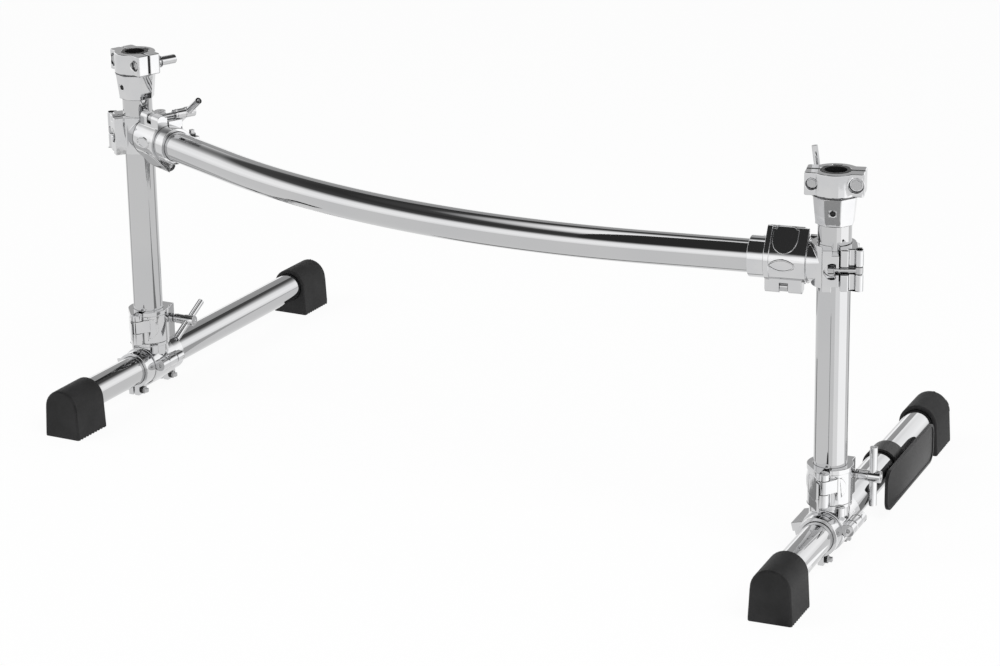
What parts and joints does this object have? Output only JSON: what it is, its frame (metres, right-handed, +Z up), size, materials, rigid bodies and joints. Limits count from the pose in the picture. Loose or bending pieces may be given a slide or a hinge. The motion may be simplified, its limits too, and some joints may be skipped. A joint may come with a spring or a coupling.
{
  "type": "drum rack frame",
  "caption": "Low drum rack frame: bowed crossbar clamped between uprights that stand in hinged clamps on splayed foot tubes, with split arm holders on top and rubber feet.",
  "frame": {"origin": "on the floor, in the middle of the rectangle that the rack covers", "axes": "+Z up, +X along the rack towards the upright with the bare plate on its foot, +Y towards the back; the crossbar bows forwards"},
  "size_m": [1.1758, 0.6166, 0.4737],
  "materials": {
    "chrome": "polished chrome plate, softer on the castings",
    "plated_steel": "bright zinc or nickel plate on bolts and pins",
    "rubber": "matte black moulded rubber",
    "moulding": "black moulded plastic, semi-matte"
  },
  "bodies": {
    "uprights": {"left_upright": "chrome", "right_upright": "chrome"},
    "bar": {"crossbar": "chrome", "bar_memory_locks": "chrome", "bar_lock_bolts": "plated_steel", "ul_clamp_body": "chrome", "ul_clamp_pins": "plated_steel", "ur_clamp_body": "chrome", "ur_clamp_pins": "plated_steel"},
    "left_foot": {"left_foot_tube": "chrome", "left_memory_locks": "chrome", "left_lock_bolts": "plated_steel", "ll_clamp_body": "chrome", "ll_clamp_pins": "plated_steel", "left_front_foot": "rubber", "left_rear_foot": "rubber"},
    "right_foot": {"right_foot_tube": "chrome", "right_memory_locks": "chrome", "right_lock_bolts": "plated_steel", "lr_clamp_body": "chrome", "lr_clamp_pins": "plated_steel", "right_front_foot": "rubber", "right_rear_foot": "rubber"},
    "ul_gate": {"ul_socket_gate": "chrome"},
    "ul_bolt": {"ul_socket_bolt": "plated_steel"},
    "ul_handle": {"ul_t_handle": "chrome"},
    "ul_collar": {"ul_collar_gate": "chrome"},
    "ul_latch": {"ul_collar_bolt": "plated_steel"},
    "ur_gate": {"ur_socket_gate": "chrome"},
    "ur_bolt": {"ur_socket_bolt": "plated_steel"},
    "ur_handle": {"ur_t_handle": "chrome"},
    "ur_collar": {"ur_collar_gate": "chrome"},
    "ur_latch": {"ur_collar_bolt": "plated_steel"},
    "ll_gate": {"ll_socket_gate": "chrome"},
    "ll_bolt": {"ll_socket_bolt": "plated_steel"},
    "ll_handle": {"ll_t_handle": "chrome"},
    "ll_collar": {"ll_collar_gate": "chrome"},
    "ll_latch": {"ll_collar_bolt": "plated_steel"},
    "lr_gate": {"lr_socket_gate": "chrome"},
    "lr_bolt": {"lr_socket_bolt": "plated_steel"},
    "lr_handle": {"lr_t_handle": "chrome"},
    "lr_collar": {"lr_collar_gate": "chrome"},
    "lr_latch": {"lr_collar_bolt": "plated_steel"},
    "left_holder": {"left_holder_body": "chrome", "left_holder_liner": "moulding", "left_holder_bolts": "plated_steel"},
    "left_jaw": {"left_holder_jaw": "chrome"},
    "left_screw": {"left_jaw_screw": "chrome"},
    "right_holder": {"right_holder_body": "chrome", "right_holder_liner": "moulding", "right_holder_bolts": "plated_steel"},
    "right_jaw": {"right_holder_jaw": "chrome"},
    "right_screw": {"right_jaw_screw": "chrome"},
    "badge": {"badge_plate": "moulding", "badge_clip": "moulding"}
  },
  "joints": [
    {"name": "bar_height", "type": "slide", "parent": "uprights", "child": "bar", "axis": [0, 0, 1], "range_m": [-0.12, 0.004]},
    {"name": "left_foot_turn", "type": "hinge", "parent": "uprights", "child": "left_foot", "pos_m": [-0.50566, -0.10101, 0.039], "axis": [0, 0, 1], "range_deg": [-45, 45]},
    {"name": "right_foot_turn", "type": "hinge", "parent": "uprights", "child": "right_foot", "pos_m": [0.52034, -0.10101, 0.039], "axis": [0, 0, 1], "range_deg": [-45, 45]},
    {"name": "ul_bolt_swing", "type": "hinge", "parent": "bar", "child": "ul_bolt", "pos_m": [-0.45734, -0.12568, 0.381], "axis": [0.9537, -0.3007, 0], "range_deg": [0, 70]},
    {"name": "ul_handle_turn", "type": "hinge", "parent": "ul_bolt", "child": "ul_handle", "pos_m": [-0.44561, -0.08848, 0.381], "axis": [0.3007, 0.9537, 0], "continuous": true},
    {"name": "ul_gate_swing", "type": "hinge", "parent": "bar", "child": "ul_gate", "pos_m": [-0.45419, -0.11566, 0.321], "axis": [-0.9537, 0.3007, 0], "range_deg": [0, 90]},
    {"name": "ul_collar_swing", "type": "hinge", "parent": "bar", "child": "ul_collar", "pos_m": [-0.49212, -0.07412, 0.351], "axis": [0, 0, -1], "range_deg": [0, 116]},
    {"name": "ul_latch_swing", "type": "hinge", "parent": "ul_collar", "child": "ul_latch", "pos_m": [-0.54288, -0.11104, 0.351], "axis": [0, 0, -1], "range_deg": [0, 165]},
    {"name": "ur_bolt_swing", "type": "hinge", "parent": "bar", "child": "ur_bolt", "pos_m": [0.47202, -0.12568, 0.321], "axis": [-0.9537, -0.3007, 0], "range_deg": [0, 75]},
    {"name": "ur_handle_turn", "type": "hinge", "parent": "ur_bolt", "child": "ur_handle", "pos_m": [0.4603, -0.08848, 0.321], "axis": [-0.3007, 0.9537, 0], "continuous": true},
    {"name": "ur_gate_swing", "type": "hinge", "parent": "bar", "child": "ur_gate", "pos_m": [0.46887, -0.11566, 0.381], "axis": [0.9537, 0.3007, 0], "range_deg": [0, 90]},
    {"name": "ur_collar_swing", "type": "hinge", "parent": "bar", "child": "ur_collar", "pos_m": [0.5068, -0.07412, 0.351], "axis": [0, 0, 1], "range_deg": [0, 116]},
    {"name": "ur_latch_swing", "type": "hinge", "parent": "ur_collar", "child": "ur_latch", "pos_m": [0.55756, -0.11104, 0.351], "axis": [0, 0, 1], "range_deg": [0, 165]},
    {"name": "ll_bolt_swing", "type": "hinge", "parent": "left_foot", "child": "ll_bolt", "pos_m": [-0.51875, -0.07255, 0.0925], "axis": [0, 0, 1], "range_deg": [0, 165]},
    {"name": "ll_handle_turn", "type": "hinge", "parent": "ll_bolt", "child": "ll_handle", "pos_m": [-0.48013, -0.06712, 0.0925], "axis": [0.9903, 0.1392, 0], "continuous": true},
    {"name": "ll_gate_swing", "type": "hinge", "parent": "left_foot", "child": "ll_gate", "pos_m": [-0.5, -0.13051, 0.0925], "axis": [0, 0, -1], "range_deg": [0, 90]},
    {"name": "ll_collar_swing", "type": "hinge", "parent": "left_foot", "child": "ll_collar", "pos_m": [-0.47624, -0.09687, 0.04383], "axis": [0.1392, -0.9903, 0], "range_deg": [0, 116]},
    {"name": "ll_latch_swing", "type": "hinge", "parent": "ll_collar", "child": "ll_latch", "pos_m": [-0.52622, -0.1039, 0.00651], "axis": [0.1392, -0.9903, 0], "range_deg": [0, 165]},
    {"name": "lr_bolt_swing", "type": "hinge", "parent": "right_foot", "child": "lr_bolt", "pos_m": [0.5053, -0.07353, 0.0925], "axis": [0, 0, 1], "range_deg": [0, 66]},
    {"name": "lr_handle_turn", "type": "hinge", "parent": "lr_bolt", "child": "lr_handle", "pos_m": [0.54345, -0.06543, 0.0925], "axis": [0.9781, 0.2079, 0], "continuous": true},
    {"name": "lr_gate_swing", "type": "hinge", "parent": "right_foot", "child": "lr_gate", "pos_m": [0.52804, -0.13004, 0.0925], "axis": [0, 0, -1], "range_deg": [0, 90]},
    {"name": "lr_collar_swing", "type": "hinge", "parent": "right_foot", "child": "lr_collar", "pos_m": [0.5494, -0.09483, 0.04383], "axis": [0.2079, -0.9781, 0], "range_deg": [0, 116]},
    {"name": "lr_latch_swing", "type": "hinge", "parent": "lr_collar", "child": "lr_latch", "pos_m": [0.50004, -0.10532, 0.00651], "axis": [0.2079, -0.9781, 0], "range_deg": [0, 165]},
    {"name": "left_holder_turn", "type": "hinge", "parent": "uprights", "child": "left_holder", "pos_m": [-0.50566, -0.10101, 0.411], "axis": [0, 0, 1], "range_deg": [-10, 60]},
    {"name": "left_jaw_slide", "type": "slide", "parent": "left_holder", "child": "left_jaw", "axis": [0.2588, 0.9659, 0], "range_m": [0, 0.002]},
    {"name": "left_screw_turn", "type": "hinge", "parent": "left_jaw", "child": "left_screw", "pos_m": [-0.47423, -0.07837, 0.4445], "axis": [0.2588, 0.9659, 0], "range_deg": [0, 720]},
    {"name": "right_holder_turn", "type": "hinge", "parent": "uprights", "child": "right_holder", "pos_m": [0.52034, -0.10101, 0.411], "axis": [0, 0, 1], "range_deg": [-60, 60]},
    {"name": "right_jaw_slide", "type": "slide", "parent": "right_holder", "child": "right_jaw", "axis": [-0.3907, 0.9205, 0], "range_m": [0, 0.002]},
    {"name": "right_screw_turn", "type": "hinge", "parent": "right_jaw", "child": "right_screw", "pos_m": [0.48607, -0.08297, 0.4445], "axis": [-0.3907, 0.9205, 0], "range_deg": [0, 720]},
    {"name": "badge_slide", "type": "slide", "parent": "right_foot", "child": "badge", "axis": [-0.2079, 0.9781, 0], "range_m": [-0.035, 0.035]}
  ],
  "couplings": [
    {"joint": "ul_gate_swing", "follows": "ul_bolt_swing", "ratio": 1.2857},
    {"joint": "ul_collar_swing", "follows": "ul_latch_swing", "ratio": 0.7},
    {"joint": "ur_gate_swing", "follows": "ur_bolt_swing", "ratio": 1.2},
    {"joint": "ur_collar_swing", "follows": "ur_latch_swing", "ratio": 0.7},
    {"joint": "ll_gate_swing", "follows": "ll_bolt_swing", "ratio": 0.54545},
    {"joint": "ll_collar_swing", "follows": "ll_latch_swing", "ratio": 0.7},
    {"joint": "lr_gate_swing", "follows": "lr_bolt_swing", "ratio": 1.3636},
    {"joint": "lr_collar_swing", "follows": "lr_latch_swing", "ratio": 0.7},
    {"joint": "left_screw_turn", "follows": "left_jaw_slide", "rad_per_m": 6283},
    {"joint": "right_screw_turn", "follows": "right_jaw_slide", "rad_per_m": 6283}
  ]
}
